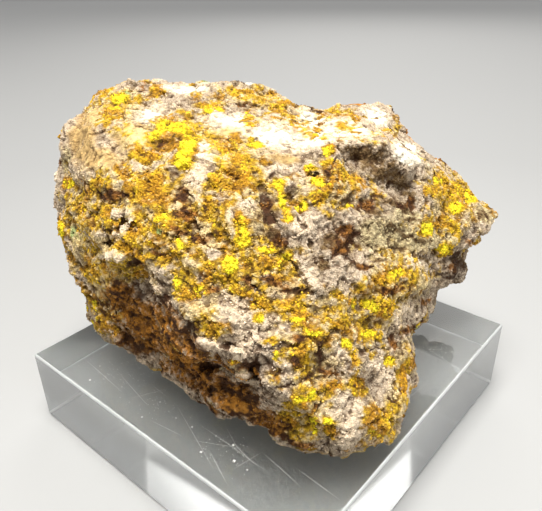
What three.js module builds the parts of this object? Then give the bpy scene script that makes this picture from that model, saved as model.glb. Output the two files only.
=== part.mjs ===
// A lump of lead-uranium ore lying on a square block of clear acrylic.
// Millimetres, +Z up. The origin is the middle of the block's underside.

import * as THREE from 'three';
import { ConvexHull } from 'three/addons/math/ConvexHull.js';
import { ImprovedNoise } from 'three/addons/math/ImprovedNoise.js';

// Driving dimensions of the block.
const BLOCK_SIDE = 76;
const BLOCK_THICKNESS = 17.5;
const BLOCK_CHAMFER = 0.6;

// The stone lies with its broad face turned towards the block's corner at +X -Y.
const STONE_TURN = THREE.MathUtils.degToRad(40.8);
const REST_GAP = 0.3;

// The visible skin of the stone is set out from one viewing point in front of its broad face.
// In the stone's own frame X runs to the right along the face, Y away from the viewer and Z up
// from the block's top. The line of sight dips by SIGHT_DIP and is tilted sideways by SIGHT_ROLL.
const EYE = new THREE.Vector3(-0.4, -109, 81.3);
const SIGHT_DIP = THREE.MathUtils.degToRad(28.7);
const SIGHT_ROLL = THREE.MathUtils.degToRad(-1.1);
const SIGHT_DISTANCE = 130;

// Finish of the faceted skin.
const LONGEST_EDGE = 3.6;
const SOFTENING = 0.25;
const RELIEF = [
  { wavelength: 17, height: 1.2 },
  { wavelength: 7.5, height: 0.9 },
  { wavelength: 4.2, height: 0.5 },
];
const CREST = 0.6;
const CREST_TO_HOLLOW = 2;

// Worn bedding: shallow steps that run down to the right across the stone. Foot is the share of
// a bed's thickness over which it swells out.
const BEDDING = {
  up: new THREE.Vector3(0.36, 0.1, 0.93),
  spacing: 8.5,
  step: 1.1,
  wobble: 5,
  waviness: 25.5,
  foot: 0.25,
};

// Rows are [across, up, away]. Across and up are measured on the plane that stands square to the
// line of sight at SIGHT_DISTANCE, and away is the point's own Y.

const LEFT_SIDE = [
  [-34, -21, -9], [-36.5, -19, -5], [-38.5, -16, 0], [-40, -11.5, 2], [-41.5, -7.5, 3],
  [-42, -4, 3], [-43.5, 0, 3], [-45.5, 2, 2], [-46.5, 3, 1], [-47.5, 6.5, 0],
  [-47, 8.5, 1], [-47.5, 11, 2], [-46.5, 16, 4], [-46, 23, 7], [-45, 28, 10],
  [-43, 30.5, 13], [-39.5, 33.5, 16], [-37.5, 36, 18], [-35, 37, 20],
];

const BACK_RIM = [
  [-33, 39, 21], [-30.5, 39.5, 22], [-28, 38.5, 22], [-26, 37.5, 21], [-21.5, 38.5, 24],
  [-17, 38.5, 25], [-14, 37, 24], [-5.5, 37.5, 27], [1, 36, 27], [6, 34, 26],
  [11, 32.5, 24], [15, 33, 25], [20, 33.5, 26], [23.5, 33, 25], [25, 31.5, 23],
  [29.5, 28.5, 20], [29.5, 27, 18],
];

const RIGHT_WING_EDGE = [
  [31.5, 24.5, 17], [34, 21.5, 17], [37.5, 20, 18], [42, 17.5, 18], [45, 14.5, 17],
  [48, 11, 13], [50, 9, 10], [49, 7.5, 8], [47, 6, 7], [45.5, 5, 8],
  [45, 2.5, 9], [43, 0, 8], [43, -3, 8], [42, -5, 8], [40, -6, 7], [37.5, -6, 5],
];

const RIGHT_SIDE = [
  [36, -8.5, 3], [36.5, -10, 2], [34, -11.5, 0], [33.5, -13, -2], [31, -17, -6],
  [30.5, -20, -10], [31, -23, -14], [32, -27.5, -18], [31, -33, -22.5], [28.5, -34, -24],
  [27.5, -36, -26], [26, -41.5, -32.5],
];

const FRONT_FOOT = [
  [23, -41, -32], [19.5, -40.5, -31.5], [18.5, -42.5, -33.5], [16.5, -44, -35],
  [14.5, -42.5, -33.5], [11, -43, -34], [7, -43, -34.5], [4, -42, -33.5], [0, -38.5, -30.5],
  [-4, -38, -30.5], [-7.5, -36.5, -28.5], [-11.5, -36, -28.5], [-15, -32.5, -24],
  [-19, -29, -19], [-23, -27, -16.5], [-26.5, -25, -14], [-31.5, -22, -10.5],
];

const TOP_PLATEAU = [
  [-35.5, 32, 6], [-27.5, 34, 12], [-19, 34, 12], [-9, 33.5, 14], [1, 32, 14],
  [9.5, 30, 12], [17.5, 30.5, 14], [25, 28, 12], [-40, 26.5, -1], [-31, 27.5, -2],
  [-21, 28, -1], [-12.5, 28.5, 1], [-3.5, 28, 1], [5.5, 27, 1], [14, 27.5, 3], [22, 27.5, 4],
];

const FRONT_RIM = [
  [-42, 21, 0], [-36.5, 20, -9], [-30, 20, -13], [-23.5, 19, -15], [-16.5, 19.5, -15],
  [-10, 21, -13], [-3.5, 20.5, -14], [3, 21, -13], [7.5, 23, -10], [12, 24.2, -9],
  [16, 24.5, -8], [20.7, 25.2, -6.5], [25.5, 25.3, -4.5], [29, 23, 0.5], [27, 20.3, -4.5],
  [30, 19.6, -3], [32, 21, 1.5], [35, 18.5, 5],
];

const BELOW_RIM = [[13, 21, -13], [16.5, 18.5, -12], [20, 18, -9.5], [24, 15, -8], [28.5, 13.5, -5]];

const FACE_UPPER = [
  [-42, 12, -5], [-37.5, 11, -12], [-31, 12, -18], [-24.5, 11, -21], [-18, 11, -22],
  [-12.5, 12, -22], [-7, 12, -22], [-2, 13, -20], [3, 13, -19.5], [8.5, 14.5, -18],
  [14, 13, -17], [19.5, 11, -14], [26, 11, -9], [33, 12, -2], [39.5, 13, 7], [44, 11, 9],
];

const FACE_MIDDLE = [
  [-43, 4.5, -3], [-38.5, 3.5, -14], [-34.5, 6.5, -19], [-29, 4.5, -22], [-22, 3.5, -25],
  [-14.5, 3.5, -26], [-8.5, 4.5, -27], [-2, 5.5, -25.5], [3, 4.5, -24.5], [9.5, 5.5, -23],
  [16.5, 4.5, -20], [23, 4.5, -16], [29.5, 4.5, -10], [35, 5.5, -4], [40.5, 6.5, 3], [45, 6.5, 6],
];

const FACE_LOWER = [
  [-40, -1.5, -10], [-35.5, -1.5, -18], [-31, -0.5, -22], [-26.5, -3, -23], [-21, -5.5, -27],
  [-14.5, -4.5, -29], [-8, -3, -30], [-1.5, -3, -28.5], [5.5, -3, -27.5], [12, -2, -27],
  [19, -2, -22], [25, -2, -19], [31.5, -1.5, -12], [37, 0, -4], [40, -0.5, 3], [40.5, -3.5, 4],
  [-18, -12, -30], [-11, -11, -32], [-4.5, -12, -32], [2, -12.5, -32],
  [8.5, -12, -31], [15, -11, -29], [22, -12, -25], [27.5, -8.5, -19], [33, -6.5, -11],
  [29.5, -14, -15], [-12.5, -19.5, -33], [-5.5, -19.5, -35], [0, -21, -36], [6.5, -21, -35],
  [13, -19.5, -33], [19.5, -19.5, -29], [26, -19.5, -23], [4, -25, -37], [11, -26.5, -35],
  [17.5, -26.5, -32], [24, -26.5, -28], [29, -26.5, -23], [6.5, -32, -38], [11, -37.5, -37],
  [16.5, -34, -36], [16.5, -39.5, -36.5], [23, -34, -32], [28.5, -30.5, -26], [25, -38.5, -33.5],
];

const BROW_LEDGE = [
  [-25, -10, -26], [-22, -15.5, -28], [-18.5, -20, -29], [-8, -22, -35], [-1.5, -23.5, -36.5],
  [1, -29, -37],
];

const UNDERCUT = [
  [-40, -7.5, -5], [-35.5, -8.5, -12], [-29, -10, -18], [-32, -16.5, -11], [-26.5, -17.5, -17],
  [-24.5, -23, -15], [-19, -25, -20], [-12.5, -23.5, -28], [-3.5, -24.5, -32], [-5.5, -27.5, -35],
  [-12.5, -30, -27], [-16.5, -29, -23], [-9, -33.5, -30], [-3.5, -31, -32], [-1.5, -35, -32],
  [4, -37.5, -35],
];

// Hollows in the visible skin: the middle and the half width and height on the same plane, and
// the depth along the line of sight.
const HOLLOWS = [
  { middle: [20.5, 21.6], reach: [7.5, 3.6], depth: 4.5 },
  { middle: [28.5, 16.4], reach: [7, 3.4], depth: 3.5 },
  { middle: [40, -0.4], reach: [3, 2.2], depth: 3 },
  { middle: [-2, 7], reach: [3.4, 8], depth: 1.8 },
  { middle: [16.5, 4], reach: [4, 6], depth: 1.6 },
  { middle: [-12.3, -24], reach: [4, 3], depth: 2.2 },
  { middle: [-3.4, -24.6], reach: [3.4, 3], depth: 2 },
  { middle: [-36, 2.6], reach: [4.4, 2.2], depth: 1.6 },
  { middle: [10.5, -21], reach: [3, 4], depth: 1.4 },
];

// The sides that face away are set out directly as [x, y, z] in the stone's own frame.

const BACK_FACE = [
  [-42, 24, 41], [-35, 25, 49.5], [-26, 30, 48], [-13, 33, 44], [2, 35, 42], [15, 34, 40],
  [26, 28, 40], [38, 25, 30], [47, 17, 23], [-46, 13, 28], [-41, 25, 25],
  [-27, 32, 26], [-11, 36, 24], [6, 37, 23], [20, 33, 21], [33, 27, 19],
  [42, 18, 16], [-41, 11, 11], [-33, 22, 8], [-18, 28, 8], [-2, 30, 7],
  [12, 27, 7], [24, 20, 7], [34, 13, 8],
];

const UNDERSIDE = [
  [-30, 2, 1.5], [-23, 14, 0.3], [-10, 20, 0.3], [4, 20, 0.3], [16, 13, 0.3],
  [24, 2, 0.5], [-12, 2, 0.5], [5, -5, 0.8], [8, -20, 0.6], [-6, -14, 1.5],
  [21, -14, 0.5], [-20, -4, 1],
];

// Clean breaks on the sides that face away: [x, y, z] of the outward direction and the distance
// of the break from HEART.
const BREAKS = [
  { facing: [-0.2, 0.97, 0.15], distance: 34 },
  { facing: [0.42, 0.9, 0.12], distance: 38 },
  { facing: [-0.2, 0.8, -0.57], distance: 31 },
  { facing: [0.3, 0.78, -0.55], distance: 30 },
  { facing: [-0.8, 0.6, 0.05], distance: 43 },
  { facing: [-0.6, 0.55, -0.58], distance: 37 },
];

// Middle of the stone, from which all of its skin can be seen.
const HEART = new THREE.Vector3(0, -2, 24);

function viewingAxes() {
  const sight = new THREE.Vector3(0, Math.cos(SIGHT_DIP), -Math.sin(SIGHT_DIP));
  const right = new THREE.Vector3(1, 0, 0).applyAxisAngle(sight, -SIGHT_ROLL);
  const up = new THREE.Vector3().crossVectors(right, sight);
  return { sight, right, up };
}

function sightedPoint([across, up, away], axes) {
  const ray = axes.sight.clone().multiplyScalar(SIGHT_DISTANCE);
  ray.addScaledVector(axes.right, across);
  ray.addScaledVector(axes.up, up);
  return EYE.clone().addScaledVector(ray, (away - EYE.y) / ray.y);
}

function controlPoints() {
  const axes = viewingAxes();
  const visible = [
    LEFT_SIDE, BACK_RIM, RIGHT_WING_EDGE, RIGHT_SIDE, FRONT_FOOT, TOP_PLATEAU, FRONT_RIM,
    BELOW_RIM, FACE_UPPER, FACE_MIDDLE, FACE_LOWER, BROW_LEDGE, UNDERCUT,
  ].flat().map((row) => sightedPoint(row, axes));
  const hidden = [BACK_FACE, UNDERSIDE].flat().map((row) => new THREE.Vector3(...row));
  return [...visible, ...hidden];
}

// Neighbouring control points are joined by the convex hull of their directions from HEART.
function joinAround(points) {
  const directions = points.map((point) => point.clone().sub(HEART).normalize());
  const indexOf = new Map(directions.map((direction, index) => [direction, index]));
  const hull = new ConvexHull().setFromPoints(directions);
  return hull.faces.map((face) => {
    const first = face.edge;
    return [first, first.next, first.next.next].map((edge) => indexOf.get(edge.head().point));
  });
}

// Splits every edge longer than LONGEST_EDGE at its middle until none is left.
function refine(points, triangles) {
  let faces = triangles;
  let split = true;
  while (split) {
    split = false;
    const middles = new Map();
    const middleOf = (a, b) => {
      const key = `${Math.min(a, b)},${Math.max(a, b)}`;
      if (!middles.has(key) && points[a].distanceTo(points[b]) > LONGEST_EDGE) {
        points.push(points[a].clone().lerp(points[b], 0.5));
        middles.set(key, points.length - 1);
        split = true;
      }
      return middles.get(key);
    };
    faces = faces.flatMap((face) => splitFace(face, middleOf, points));
  }
  return faces;
}

function splitFace([a, b, c], middleOf, points) {
  const ab = middleOf(a, b);
  const bc = middleOf(b, c);
  const ca = middleOf(c, a);
  const marks = [ab, bc, ca].filter((middle) => middle !== undefined).length;
  if (marks === 3) return [[a, ab, ca], [ab, b, bc], [ca, bc, c], [ab, bc, ca]];
  if (marks === 0) return [[a, b, c]];
  // The face is turned until its marked edge, or both of its marked edges, come first.
  const turns = [
    { corners: [a, b, c], middles: [ab, bc, ca] },
    { corners: [b, c, a], middles: [bc, ca, ab] },
    { corners: [c, a, b], middles: [ca, ab, bc] },
  ];
  const { corners, middles } = turns.find(
    (turn) => turn.middles.slice(marks).every((middle) => middle === undefined),
  );
  const [p, q, r] = corners;
  const [pq, qr] = middles;
  if (marks === 1) return [[p, pq, r], [pq, q, r]];
  const tip = [pq, q, qr];
  if (points[p].distanceTo(points[qr]) < points[r].distanceTo(points[pq])) {
    return [tip, [p, pq, qr], [p, qr, r]];
  }
  return [tip, [pq, qr, r], [p, pq, r]];
}

// Points outside a break are brought back onto its plane.
function breakOff(points) {
  for (const { facing, distance } of BREAKS) {
    const outward = new THREE.Vector3(...facing).normalize();
    for (const point of points) {
      const excess = point.clone().sub(HEART).dot(outward) - distance;
      if (excess > 0) point.addScaledVector(outward, -excess);
    }
  }
}

// Draws each point towards the mean of its neighbours, which rounds the creases a little.
function soften(points, faces) {
  const sums = points.map(() => new THREE.Vector3());
  const counts = points.map(() => 0);
  for (const [a, b, c] of faces) {
    for (const [from, to] of [[a, b], [b, c], [c, a]]) {
      sums[from].add(points[to]);
      counts[from] += 1;
    }
  }
  points.forEach((point, index) => point.lerp(sums[index].divideScalar(counts[index]), SOFTENING));
}

function pointNormals(points, faces) {
  const normals = points.map(() => new THREE.Vector3());
  for (const [a, b, c] of faces) {
    const side = points[b].clone().sub(points[a]);
    const normal = side.cross(points[c].clone().sub(points[a]));
    for (const corner of [a, b, c]) normals[corner].add(normal);
  }
  return normals.map((normal) => normal.normalize());
}

// Presses the hollows into the near side of the stone.
function pressHollows(points) {
  const { sight, right, up } = viewingAxes();
  for (const point of points) {
    const ray = point.clone().sub(EYE);
    const scale = SIGHT_DISTANCE / ray.dot(sight);
    const near = point.clone().sub(HEART).dot(sight) < 0;
    ray.multiplyScalar(scale);
    for (const { middle, reach, depth } of HOLLOWS) {
      const sideways = (ray.dot(right) - middle[0]) / reach[0];
      const upwards = (ray.dot(up) - middle[1]) / reach[1];
      const share = 1 - sideways ** 2 - upwards ** 2;
      if (near && share > 0) point.addScaledVector(ray, (depth * share) / SIGHT_DISTANCE);
    }
  }
}

// Height of the bedding steps at a point: each bed swells out towards its foot and then drops back.
function beddingHeight(point, noise) {
  const { up, spacing, step, wobble, waviness, foot } = BEDDING;
  const at = point.clone().divideScalar(waviness);
  const level = point.dot(up) + wobble * noise.noise(at.x, at.y, at.z);
  const share = THREE.MathUtils.euclideanModulo(level / spacing, 1);
  const swell = share < foot ? share / foot : (1 - share) / (1 - foot);
  return step * (swell - 1 / 2);
}

// Craggy relief: sharp crests and rounded hollows at three sizes, over the bedding steps.
function roughen(points, faces) {
  const noise = new ImprovedNoise();
  const normals = pointNormals(points, faces);
  points.forEach((point, index) => {
    let height = beddingHeight(point, noise);
    for (const { wavelength, height: most } of RELIEF) {
      const at = point.clone().divideScalar(wavelength);
      const wave = noise.noise(at.x + wavelength, at.y, at.z);
      height += most * (CREST - CREST_TO_HOLLOW * Math.abs(wave));
    }
    point.addScaledVector(normals[index], height);
    point.z = Math.max(point.z, REST_GAP);
  });
}

function stoneGeometry() {
  const points = controlPoints();
  const faces = refine(points, joinAround(points));
  breakOff(points);
  soften(points, faces);
  pressHollows(points);
  roughen(points, faces);
  const geometry = new THREE.BufferGeometry();
  const coordinates = points.flatMap((point) => point.toArray());
  geometry.setAttribute('position', new THREE.Float32BufferAttribute(coordinates, 3));
  geometry.setIndex(faces.flat());
  geometry.computeVertexNormals();
  return geometry;
}

function buildStone() {
  const material = new THREE.MeshStandardMaterial({
    color: 0xa8803c, roughness: 0.95, metalness: 0,
  });
  const stone = new THREE.Mesh(stoneGeometry(), material);
  stone.name = 'specimen_rock';
  return stone;
}

function buildBlock() {
  const half = BLOCK_SIDE / 2 - BLOCK_CHAMFER;
  const outline = new THREE.Shape();
  outline.moveTo(-half, -half);
  outline.lineTo(half, -half);
  outline.lineTo(half, half);
  outline.lineTo(-half, half);
  outline.closePath();
  const geometry = new THREE.ExtrudeGeometry(outline, {
    depth: BLOCK_THICKNESS - 2 * BLOCK_CHAMFER,
    bevelThickness: BLOCK_CHAMFER,
    bevelSize: BLOCK_CHAMFER,
    bevelSegments: 1,
  });
  const material = new THREE.MeshStandardMaterial({
    color: 0xe8eef0, roughness: 0.08, metalness: 0, transparent: true, opacity: 0.35,
  });
  const block = new THREE.Mesh(geometry, material);
  block.name = 'acrylic_block';
  block.position.z = BLOCK_CHAMFER;
  return block;
}

const resting = new THREE.Group();
resting.rotation.z = STONE_TURN;
resting.position.z = BLOCK_THICKNESS;
resting.add(buildStone());

const specimen = new THREE.Group();
specimen.add(buildBlock());
specimen.add(resting);

export default specimen;
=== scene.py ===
"""Looks of the dewindtite specimen: a crusted lump of ore that rests on a clear acrylic block."""
import itertools
import math

import bmesh
import bpy
import numpy as np
from mathutils import Matrix, Vector
from mathutils.bvhtree import BVHTree


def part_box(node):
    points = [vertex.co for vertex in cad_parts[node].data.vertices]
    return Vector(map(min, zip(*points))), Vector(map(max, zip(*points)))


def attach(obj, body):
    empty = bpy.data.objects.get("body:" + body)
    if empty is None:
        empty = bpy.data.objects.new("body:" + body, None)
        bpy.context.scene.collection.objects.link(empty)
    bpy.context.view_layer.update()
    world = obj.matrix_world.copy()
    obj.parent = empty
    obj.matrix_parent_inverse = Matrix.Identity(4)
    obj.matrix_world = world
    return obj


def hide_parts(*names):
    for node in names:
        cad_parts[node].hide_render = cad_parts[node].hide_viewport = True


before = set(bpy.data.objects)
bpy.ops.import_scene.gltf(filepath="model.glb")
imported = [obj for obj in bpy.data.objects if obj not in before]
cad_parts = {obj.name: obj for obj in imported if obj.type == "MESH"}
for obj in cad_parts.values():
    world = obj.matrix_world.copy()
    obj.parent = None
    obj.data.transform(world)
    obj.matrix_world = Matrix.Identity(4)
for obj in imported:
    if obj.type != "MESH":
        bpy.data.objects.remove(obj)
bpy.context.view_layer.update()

MM = 0.001

# The camera: where it stands, its turn about Z, its dip and its roll, and the focal length in pixels.
PICTURE = (542, 511)
FOCAL_LENGTH = 590.5
SENSOR_WIDTH = 36.0
CLIP_DISTANCES = (0.005, 10.0)
CAMERA_AT = Vector((0.07099, -0.08277, 0.09881))
AZIMUTH = math.radians(40.82)
DIP = math.radians(28.67)
ROLL = math.radians(-1.12)

BLOCK_LOW, BLOCK_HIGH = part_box("acrylic_block")
BLOCK_TOP = BLOCK_HIGH.z

# The lights are discs that face the stone. For each: how far it stands to the viewer's right, away from the
# viewer and up, its width, its power and its colour. The key is wide to stay bright through the clear block.
LIGHTS = {
    "key_light": ((-0.03, -0.09, 0.48), 0.26, 4.2, (1.0, 0.985, 0.95)),
    "fill_light": ((0.5, -0.45, 0.3), 0.5, 1.3, (0.96, 0.99, 1.0)),
    "back_light": ((0.1, 0.55, 0.4), 0.5, 1.2, (1.0, 0.98, 0.95)),
}
LIT_HEIGHT = 0.025
DOME_STRENGTH = 0.36
DOME_TONES = [(0.0, (1.0, 1.0, 1.0)), (0.3, (0.8, 0.8, 0.8)), (1.0, (0.9, 0.9, 0.9))]


# ---- camera and light


def camera_axes():
    """The camera's right, its up and the way back from the subject, as rows."""
    back = Vector((math.sin(AZIMUTH) * math.cos(DIP), -math.cos(AZIMUTH) * math.cos(DIP), math.sin(DIP)))
    level = Vector((math.cos(AZIMUTH), math.sin(AZIMUTH), 0.0))
    rise = level.cross(-back)
    right = math.cos(ROLL) * level + math.sin(ROLL) * rise
    up = math.cos(ROLL) * rise - math.sin(ROLL) * level
    return Matrix((right, up, back))


AXES = camera_axes()


def make_camera():
    data = bpy.data.cameras.new("camera")
    data.sensor_width = SENSOR_WIDTH
    data.lens = FOCAL_LENGTH / PICTURE[0] * SENSOR_WIDTH
    data.clip_start, data.clip_end = CLIP_DISTANCES
    camera = bpy.data.objects.new("camera", data)
    camera.matrix_world = Matrix.Translation(CAMERA_AT) @ AXES.transposed().to_4x4()
    bpy.context.scene.collection.objects.link(camera)
    bpy.context.scene.camera = camera


def sight(points):
    """The picture column and row at which points in metres show."""
    seen = (points - np.array(CAMERA_AT)) @ np.array(AXES).T
    depth = -seen[:, 2]
    column = PICTURE[0] / 2 + FOCAL_LENGTH * seen[:, 0] / depth
    row = PICTURE[1] / 2 - FOCAL_LENGTH * seen[:, 1] / depth
    return column, row


def sight_ray(column, row):
    """The direction from the camera through a point of the picture."""
    across = float(column - PICTURE[0] / 2) / FOCAL_LENGTH
    rise = float(PICTURE[1] / 2 - row) / FOCAL_LENGTH
    return (across * AXES[0] + rise * AXES[1] - AXES[2]).normalized()


def towards_camera(points):
    """The directions to the camera from points in millimetres."""
    ways = np.array(CAMERA_AT) / MM - points
    return ways / np.linalg.norm(ways, axis=1, keepdims=True)


def from_viewer(right, away, up):
    """A point to the viewer's right, away from the viewer and up, from the middle of the block's top."""
    turn = Matrix.Rotation(AZIMUTH, 3, "Z")
    return turn @ Vector((right, away, up)) + Vector((0.0, 0.0, BLOCK_TOP))


def make_light(name, place, width, watts, tint):
    data = bpy.data.lights.new(name, "AREA")
    data.shape = "DISK"
    data.size = width
    data.energy = watts
    data.color = tint
    light = bpy.data.objects.new(name, data)
    light.location = place
    aim = from_viewer(0.0, 0.0, LIT_HEIGHT)
    light.rotation_euler = (aim - place).to_track_quat("-Z", "Y").to_euler()
    bpy.context.scene.collection.objects.link(light)


def make_lights():
    for name, (offset, width, watts, tint) in LIGHTS.items():
        make_light(name, from_viewer(*offset), width, watts, tint)
    world = bpy.data.worlds.new("studio")
    world.use_nodes = True
    tree = world.node_tree
    direction = add(tree, "ShaderNodeTexCoord").outputs["Generated"]
    rise = add(tree, "ShaderNodeSeparateXYZ", None, Vector=direction).outputs["Z"]
    sky = tree.nodes["Background"]
    tree.links.new(gradient(tree, rise, DOME_TONES), sky.inputs["Color"])
    sky.inputs["Strength"].default_value = DOME_STRENGTH
    bpy.context.scene.world = world
    bpy.context.scene.view_settings.view_transform = "Standard"


# ---- repeatable noise, in millimetres

PRIMES = (0x9E3779B1, 0x85EBCA77, 0xC2B2AE3D)
GRADIENTS = np.array([v for v in itertools.product((-1, 0, 1), repeat=3) if np.abs(v).sum() == 2], float)


def scramble(cells, seed):
    """A repeatable whole number for each cell of a grid."""
    mixed = np.full(cells.shape[:-1], (seed * PRIMES[0] + PRIMES[1]) % 2**32, np.uint32)
    for axis, prime in enumerate(PRIMES):
        mixed = (mixed ^ (cells[..., axis].astype(np.uint32) * np.uint32(prime))) * np.uint32(PRIMES[2])
        mixed ^= mixed >> np.uint32(15)
    return mixed


def share(cells, seed):
    """The same, as a number from 0 to 1."""
    return scramble(cells, seed) / 2**32


def noise(points, wavelength, seed):
    """Smooth gradient noise from about -1 to 1."""
    at = points / wavelength
    low = np.floor(at)
    inside = at - low
    fade = inside**3 * (inside * (inside * 6 - 15) + 10)
    low = low.astype(np.int64)
    total = np.zeros(len(points))
    for corner in itertools.product((0, 1), repeat=3):
        slope = GRADIENTS[scramble(low + np.array(corner), seed) % len(GRADIENTS)]
        weight = np.where(corner, fade, 1 - fade).prod(axis=1)
        total += weight * ((inside - corner) * slope).sum(axis=1)
    return total


def cloud(points, wavelength, seed, octaves=3, gain=0.5):
    """Noise at several sizes, from about -1 to 1."""
    total = np.zeros(len(points))
    for octave in range(octaves):
        total += gain**octave * noise(points, wavelength / 2**octave, seed + octave)
    return total


def crests(points, wavelength, seed):
    """Noise with sharp crests and rounded hollows, from about -1 to 1."""
    return 1 - 4 * np.abs(noise(points, wavelength, seed))


def nearest_cell(points, size, seed):
    """The way from the nearest of many scattered points, as a share of their spacing, and its cell."""
    at = points / size
    low = np.floor(at).astype(np.int64)
    best = np.full(len(points), np.inf)
    way = np.zeros_like(at)
    own = low.copy()
    for step in itertools.product((-1, 0, 1), repeat=3):
        cell = low + np.array(step)
        offset = at - cell - np.stack([share(cell, seed + k) for k in range(3)], axis=1)
        distance = (offset**2).sum(axis=1)
        nearer = distance < best
        best[nearer] = distance[nearer]
        way[nearer] = offset[nearer]
        own[nearer] = cell[nearer]
    return way, own


def ramp(values, low, high):
    """0 below low, 1 above high and a smooth rise between."""
    t = np.clip((values - low) / (high - low), 0, 1)
    return t * t * (3 - 2 * t)


# ---- mesh arithmetic


def read(items, name, width, kind=float):
    """What the items of a mesh hold under a name, as an array of rows."""
    flat = np.zeros(len(items) * width, kind)
    items.foreach_get(name, flat)
    return flat.reshape(-1, width)


class Skin:
    """A closed mesh of quads as arrays of points in millimetres, with the arithmetic that shapes it."""

    def __init__(self, mesh):
        self.points = read(mesh.vertices, "co", 3) / MM
        self.edges = read(mesh.edges, "vertices", 2, np.int64)
        self.quads = read(mesh.loops, "vertex_index", 1, np.int64).reshape(-1, 4)
        self.links = np.bincount(self.edges.ravel(), minlength=len(self.points))

    def spread(self, values):
        """The mean of each point's neighbours."""
        a, b = self.edges.T
        count = len(self.points)
        total = np.bincount(a, values[b], count) + np.bincount(b, values[a], count)
        return total / self.links

    def blur(self, values, rounds):
        """The values at the points, evened out with their neighbours several times over."""
        for _ in range(rounds):
            values = (values + self.spread(values)) / 2
        return values

    def blurred_points(self, rounds):
        """The points themselves, evened out in the same way."""
        return np.stack([self.blur(column, rounds) for column in self.points.T], axis=1)

    def normals(self):
        a, b, c, d = (self.points[self.quads[:, k]] for k in range(4))
        faces = np.cross(c - a, d - b)
        total = np.zeros_like(self.points)
        for axis in range(3):
            for corner in range(4):
                total[:, axis] += np.bincount(self.quads[:, corner], faces[:, axis], len(self.points))
        return total / np.linalg.norm(total, axis=1, keepdims=True)

    def push(self, height):
        """Moves each point out along its normal by height."""
        self.points = self.points + self.normals() * height[:, None]

    def hollowness(self, rounds):
        """How far each point lies below the mean of its surroundings, in millimetres."""
        return ((self.blurred_points(rounds) - self.points) * self.normals()).sum(axis=1)


def mesh_object(name, vertices, faces):
    mesh = bpy.data.meshes.new(name)
    mesh.from_pydata(vertices, [], faces)
    mesh.update()
    piece = bpy.data.objects.new(name, mesh)
    bpy.context.scene.collection.objects.link(piece)
    return piece


# ---- what shows where on the stone

# Rows are column, row, half width and half height of an oval in the picture, and its tilt in degrees where it
# has one. The tilt turns the oval clockwise. Each oval is laid on the stone along the line of sight.

LEMON_PATCHES = [
    (172, 127, 23, 9, 15), (157, 136, 9, 7), (187, 150, 11, 18, 10), (182, 163, 7, 8), (214, 110, 11, 4),
    (248, 114, 4, 4), (255, 144, 9, 6), (120, 100, 10, 6, -35), (68, 182, 6, 6), (62, 232, 4, 12),
    (162, 220, 8, 7), (179, 243, 9, 5, 50), (153, 241, 5, 6), (240, 222, 10, 9), (243, 238, 12, 12),
    (231, 265, 14, 11, 20), (284, 200, 7, 15, -10), (279, 184, 6, 5), (286, 219, 7, 6, -30),
    (310, 169, 11, 4), (329, 152, 6, 9), (323, 184, 13, 8, 10), (303, 207, 7, 5), (289, 257, 8, 8, 20),
    (266, 251, 14, 6), (352, 204, 7, 4), (455, 207, 12, 11, 40), (470, 196, 11, 6, 30), (437, 180, 8, 4, 30),
    (427, 230, 12, 10, 20), (443, 249, 10, 7, -30), (397, 273, 12, 6, -10), (348, 344, 9, 7, 50),
    (353, 304, 5, 6, 30), (178, 283, 5, 9), (200, 288, 9, 6), (300, 399, 10, 5, -10), (311, 391, 5, 7),
    (313, 421, 5, 9), (315, 433, 5, 5), (327, 420, 7, 4), (274, 356, 4, 9), (299, 321, 11, 4),
    (314, 333, 11, 5, 10), (372, 306, 14, 7), (368, 334, 11, 6), (235, 361, 6, 3), (388, 362, 6, 5),
    (259, 317, 5, 6), (97, 307, 3, 14, -15), (374, 430, 7, 5),
]

OCHRE_PATCHES = [
    (114, 114, 16, 10), (106, 94, 9, 5, -40), (158, 93, 8, 8), (208, 105, 16, 6), (137, 151, 10, 9),
    (151, 157, 16, 5), (242, 93, 15, 6), (272, 94, 9, 3, 10), (285, 103, 14, 5), (277, 111, 10, 5),
    (293, 120, 7, 7), (249, 121, 10, 6, 30), (334, 111, 9, 4, 10), (353, 117, 5, 8, -30), (316, 134, 6, 5),
    (389, 132, 10, 4, 20), (227, 147, 14, 10), (239, 161, 11, 11), (243, 176, 14, 9), (218, 181, 14, 8, 20),
    (229, 188, 13, 6), (151, 186, 22, 19), (125, 172, 10, 10), (98, 184, 12, 8), (109, 213, 14, 12),
    (210, 206, 10, 17), (219, 232, 6, 14, -10), (135, 231, 14, 15), (125, 246, 14, 9), (171, 226, 10, 10),
    (170, 254, 18, 8), (94, 270, 12, 10), (136, 274, 15, 9), (184, 291, 16, 11), (204, 290, 14, 9),
    (225, 277, 18, 7, 10), (214, 328, 15, 13), (265, 262, 24, 9, 10), (276, 243, 12, 6), (281, 278, 10, 8),
    (243, 291, 22, 7, 10), (263, 305, 15, 9), (287, 305, 19, 8, 10), (301, 313, 11, 8), (332, 166, 14, 8, 20),
    (351, 179, 15, 6, 10), (320, 197, 14, 8), (443, 184, 16, 11, 30), (458, 196, 20, 13, 35),
    (432, 192, 8, 7), (448, 226, 16, 8, 20), (386, 279, 18, 6), (341, 296, 11, 6, 20), (382, 306, 18, 12),
    (340, 322, 17, 8, 20), (371, 335, 17, 9), (356, 358, 7, 13), (301, 355, 11, 20), (270, 342, 10, 6),
    (357, 386, 9, 15, -35), (405, 378, 9, 22), (303, 397, 18, 8), (284, 420, 14, 9, 20), (331, 430, 9, 11),
    (378, 426, 15, 14), (117, 315, 12, 7), (112, 331, 13, 6, 20), (104, 322, 9, 8, 40), (173, 356, 9, 9),
    (332, 386, 12, 7), (60, 222, 4, 8), (197, 240, 10, 10), (145, 255, 14, 5), (193, 220, 18, 15),
]

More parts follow.
